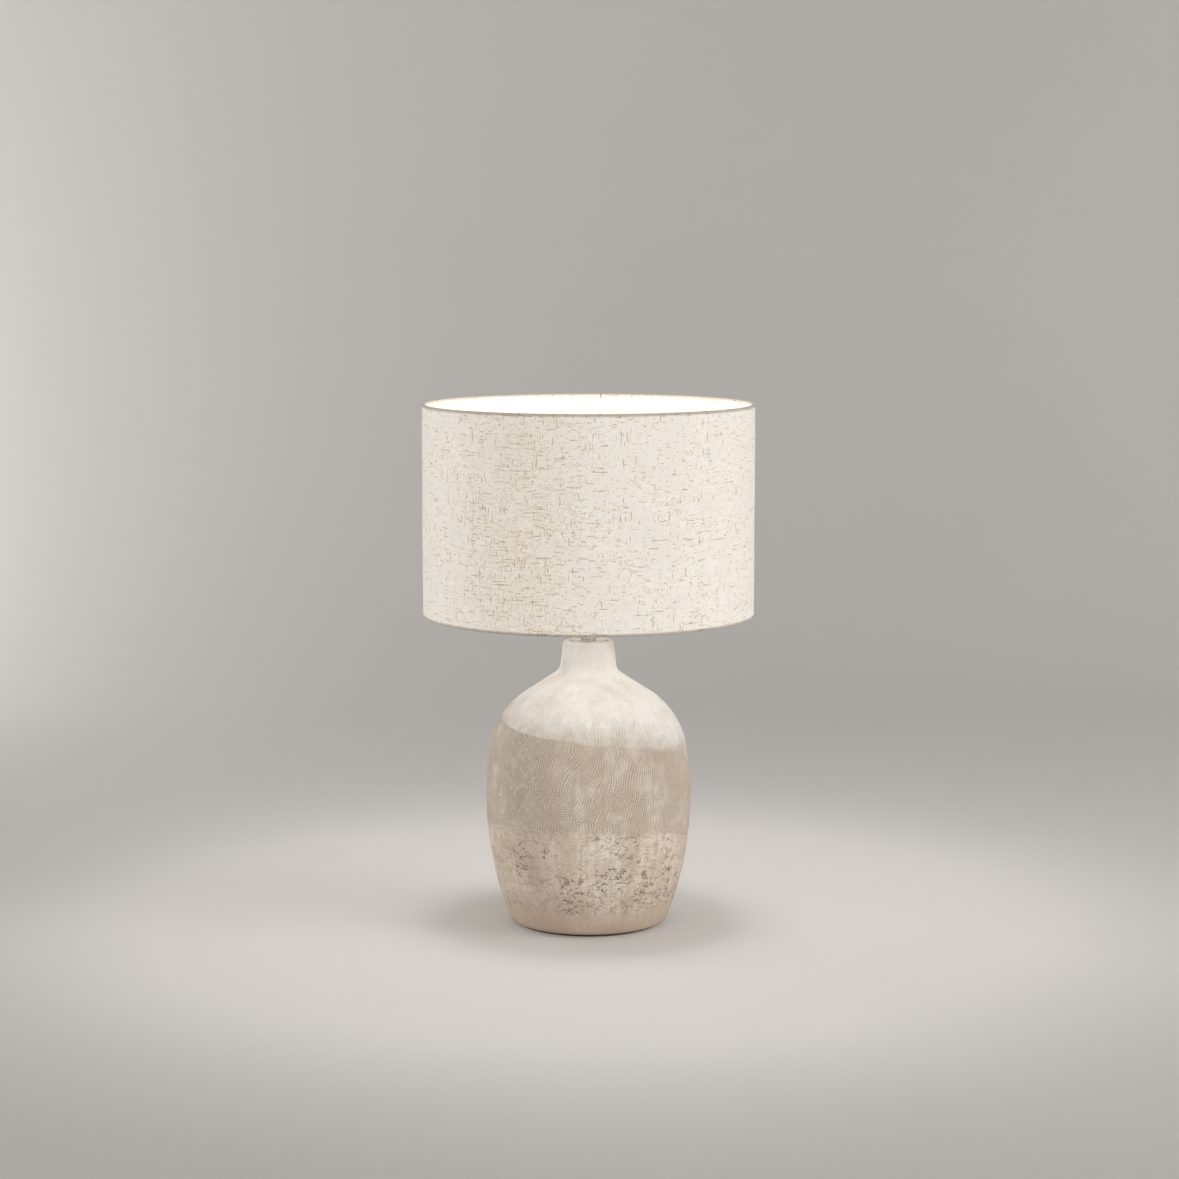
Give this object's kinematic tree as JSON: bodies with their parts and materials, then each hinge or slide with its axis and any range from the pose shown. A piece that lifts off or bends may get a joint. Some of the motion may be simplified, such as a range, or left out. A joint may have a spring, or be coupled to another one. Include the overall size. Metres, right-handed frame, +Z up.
{
  "type": "table lamp",
  "caption": "Table lamp: hollow ceramic vessel base on a felt pad, screw lampholder and bulb, and a linen drum shade on a wire spider held by a clamp ring.",
  "frame": {"origin": "centre of the felt pad's underside, where the lamp stands", "axes": "+Z up the lamp's axis, +Y towards the back, where the lead goes in, +X to the lamp's right"},
  "size_m": [0.35, 0.35, 0.555],
  "materials": {
    "lime_washed_ceramic": "matte",
    "black_felt": "matte",
    "fibreboard": "matte",
    "ivory_plastic": "satin",
    "zinc_plated_steel": "satin",
    "satin_nickel": "satin",
    "white_plastic": "gloss",
    "porcelain": "satin",
    "brass": "satin",
    "bronze": "satin",
    "linen": "matte",
    "white_laminate": "satin",
    "white_wire": "gloss",
    "nickel_cap": "satin",
    "bulb_insulator_black": "gloss",
    "solder": "satin",
    "opal_plastic": "satin",
    "white_circuit_board": "satin",
    "led_phosphor": "satin",
    "green_circuit_board": "satin"
  },
  "bodies": {
    "base": {"felt_pad": "black_felt", "base_cover": "fibreboard", "ceramic_body": "lime_washed_ceramic", "cord_bush": "ivory_plastic", "threaded_nipple": "zinc_plated_steel", "inner_washer": "zinc_plated_steel", "inner_nut": "zinc_plated_steel", "neck_cap": "satin_nickel", "neck_nut": "zinc_plated_steel", "holder_cap": "white_plastic", "holder_grub_screw": "zinc_plated_steel", "holder_shell": "white_plastic", "holder_insert": "porcelain", "screw_shell": "brass", "centre_contact": "bronze", "terminal_blocks": "brass", "terminal_screws": "zinc_plated_steel"},
    "shade": {"shade_fabric": "linen", "shade_liner": "white_laminate", "seam_tape": "white_laminate", "top_ring": "white_wire", "bottom_ring": "white_wire", "fitter_ring": "white_wire", "spider_arms": "white_wire"},
    "shade_ring": {"clamp_ring": "white_plastic"},
    "bulb_contact": {"bulb_tip_contact": "solder"},
    "bulb": {"bulb_insulator": "bulb_insulator_black", "bulb_screw_cap": "nickel_cap", "bulb_collar": "white_plastic", "bulb_globe": "opal_plastic", "bulb_led_board": "white_circuit_board", "bulb_led_chips": "led_phosphor", "bulb_driver_board": "green_circuit_board"}
  },
  "joints": [
    {"name": "shade_turn", "type": "hinge", "parent": "base", "child": "shade", "pos_m": [0, 0, 0.347], "axis": [0, 0, 1], "continuous": true},
    {"name": "clamp_ring_turn", "type": "hinge", "parent": "base", "child": "shade_ring", "pos_m": [0, 0, 0.351], "axis": [0, 0, 1], "range_deg": [0, 720]},
    {"name": "bulb_lift", "type": "slide", "parent": "base", "child": "bulb_contact", "axis": [0, 0, 1], "range_m": [0, 0.0255]},
    {"name": "bulb_turn", "type": "hinge", "parent": "bulb_contact", "child": "bulb", "pos_m": [0, 0, 0.3441], "axis": [0, 0, 1], "range_deg": [0, 2520]}
  ],
  "couplings": [
    {"joint": "bulb_lift", "follows": "bulb_turn", "m_per_rad": 0.00057757}
  ]
}
